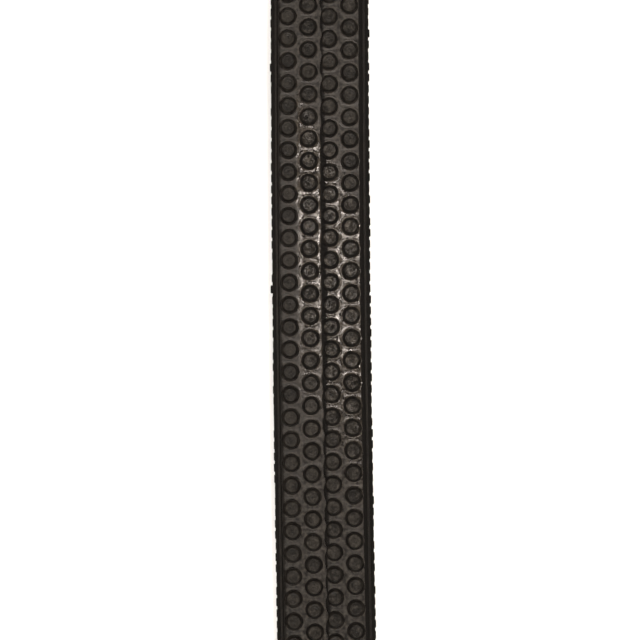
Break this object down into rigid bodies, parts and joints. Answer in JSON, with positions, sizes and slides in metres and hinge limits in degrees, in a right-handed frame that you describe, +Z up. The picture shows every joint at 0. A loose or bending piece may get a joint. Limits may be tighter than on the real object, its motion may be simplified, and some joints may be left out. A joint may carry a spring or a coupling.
{
  "type": "rubber track",
  "caption": "Endless rubber track: steel-corded carcass, drive bars across the inside, and a tread of two strips with staggered round studs and edge rails.",
  "frame": {"origin": "on the ground, under the middle of the lower run", "axes": "+X along the direction of travel, +Y towards the left edge of the track, +Z up"},
  "size_m": [1.4936, 0.178, 0.2536],
  "materials": {
    "tread_rubber": "worn, slightly dusty, semi-gloss ground and dull stud tops",
    "rail_rubber": "worn, semi-gloss",
    "drive_rubber": "moulded, satin",
    "ply_fabric": "rubber-impregnated woven nylon",
    "steel_cord": "brass-coated stranded wire"
  },
  "bodies": {
    "bottom_run": {"bottom_run_drive_layer": "drive_rubber", "bottom_run_inner_ply": "ply_fabric", "bottom_run_steel_cords": "steel_cord", "bottom_run_outer_ply": "ply_fabric", "bottom_run_tread_left": "tread_rubber", "bottom_run_tread_right": "tread_rubber", "bottom_run_rail_left": "rail_rubber", "bottom_run_rail_right": "rail_rubber"},
    "front_lower": {"front_lower_drive_layer": "drive_rubber", "front_lower_inner_ply": "ply_fabric", "front_lower_steel_cords": "steel_cord", "front_lower_outer_ply": "ply_fabric", "front_lower_tread_left": "tread_rubber", "front_lower_tread_right": "tread_rubber", "front_lower_rail_left": "rail_rubber", "front_lower_rail_right": "rail_rubber"},
    "front_upper": {"front_upper_drive_layer": "drive_rubber", "front_upper_inner_ply": "ply_fabric", "front_upper_steel_cords": "steel_cord", "front_upper_outer_ply": "ply_fabric", "front_upper_tread_left": "tread_rubber", "front_upper_tread_right": "tread_rubber", "front_upper_rail_left": "rail_rubber", "front_upper_rail_right": "rail_rubber"},
    "top_run": {"top_run_drive_layer": "drive_rubber", "top_run_inner_ply": "ply_fabric", "top_run_steel_cords": "steel_cord", "top_run_outer_ply": "ply_fabric", "top_run_tread_left": "tread_rubber", "top_run_tread_right": "tread_rubber", "top_run_rail_left": "rail_rubber", "top_run_rail_right": "rail_rubber"},
    "rear_upper": {"rear_upper_drive_layer": "drive_rubber", "rear_upper_inner_ply": "ply_fabric", "rear_upper_steel_cords": "steel_cord", "rear_upper_outer_ply": "ply_fabric", "rear_upper_tread_left": "tread_rubber", "rear_upper_tread_right": "tread_rubber", "rear_upper_rail_left": "rail_rubber", "rear_upper_rail_right": "rail_rubber"},
    "rear_lower": {"rear_lower_drive_layer": "drive_rubber", "rear_lower_inner_ply": "ply_fabric", "rear_lower_steel_cords": "steel_cord", "rear_lower_outer_ply": "ply_fabric", "rear_lower_tread_left": "tread_rubber", "rear_lower_tread_right": "tread_rubber", "rear_lower_rail_left": "rail_rubber", "rear_lower_rail_right": "rail_rubber"}
  },
  "joints": [
    {"name": "squash", "type": "hinge", "parent": "bottom_run", "child": "rear_lower", "pos_m": [-0.6773, 0, 0.02735], "axis": [0, -1, 0], "range_deg": [-4, 16], "stiffness_Nm_per_rad": 120, "springref_deg": -5.33},
    {"name": "rear_fold", "type": "hinge", "parent": "rear_lower", "child": "rear_upper", "pos_m": [-0.73459, 0, 0.12659], "axis": [0, 1, 0], "range_deg": [-8, 32]},
    {"name": "top_level", "type": "hinge", "parent": "rear_upper", "child": "top_run", "pos_m": [-0.6773, 0, 0.22583], "axis": [0, -1, 0], "range_deg": [-4, 16]},
    {"name": "front_bend", "type": "hinge", "parent": "bottom_run", "child": "front_lower", "pos_m": [0.6773, 0, 0.02735], "axis": [0, 1, 0], "range_deg": [-4, 16]},
    {"name": "front_fold", "type": "hinge", "parent": "front_lower", "child": "front_upper", "pos_m": [0.73459, 0, 0.12659], "axis": [0, -1, 0], "range_deg": [-8, 32]}
  ],
  "couplings": [
    {"joint": "rear_fold", "follows": "squash", "ratio": 2},
    {"joint": "top_level", "follows": "squash", "ratio": 1},
    {"joint": "front_bend", "follows": "squash", "ratio": 1},
    {"joint": "front_fold", "follows": "squash", "ratio": 2}
  ]
}
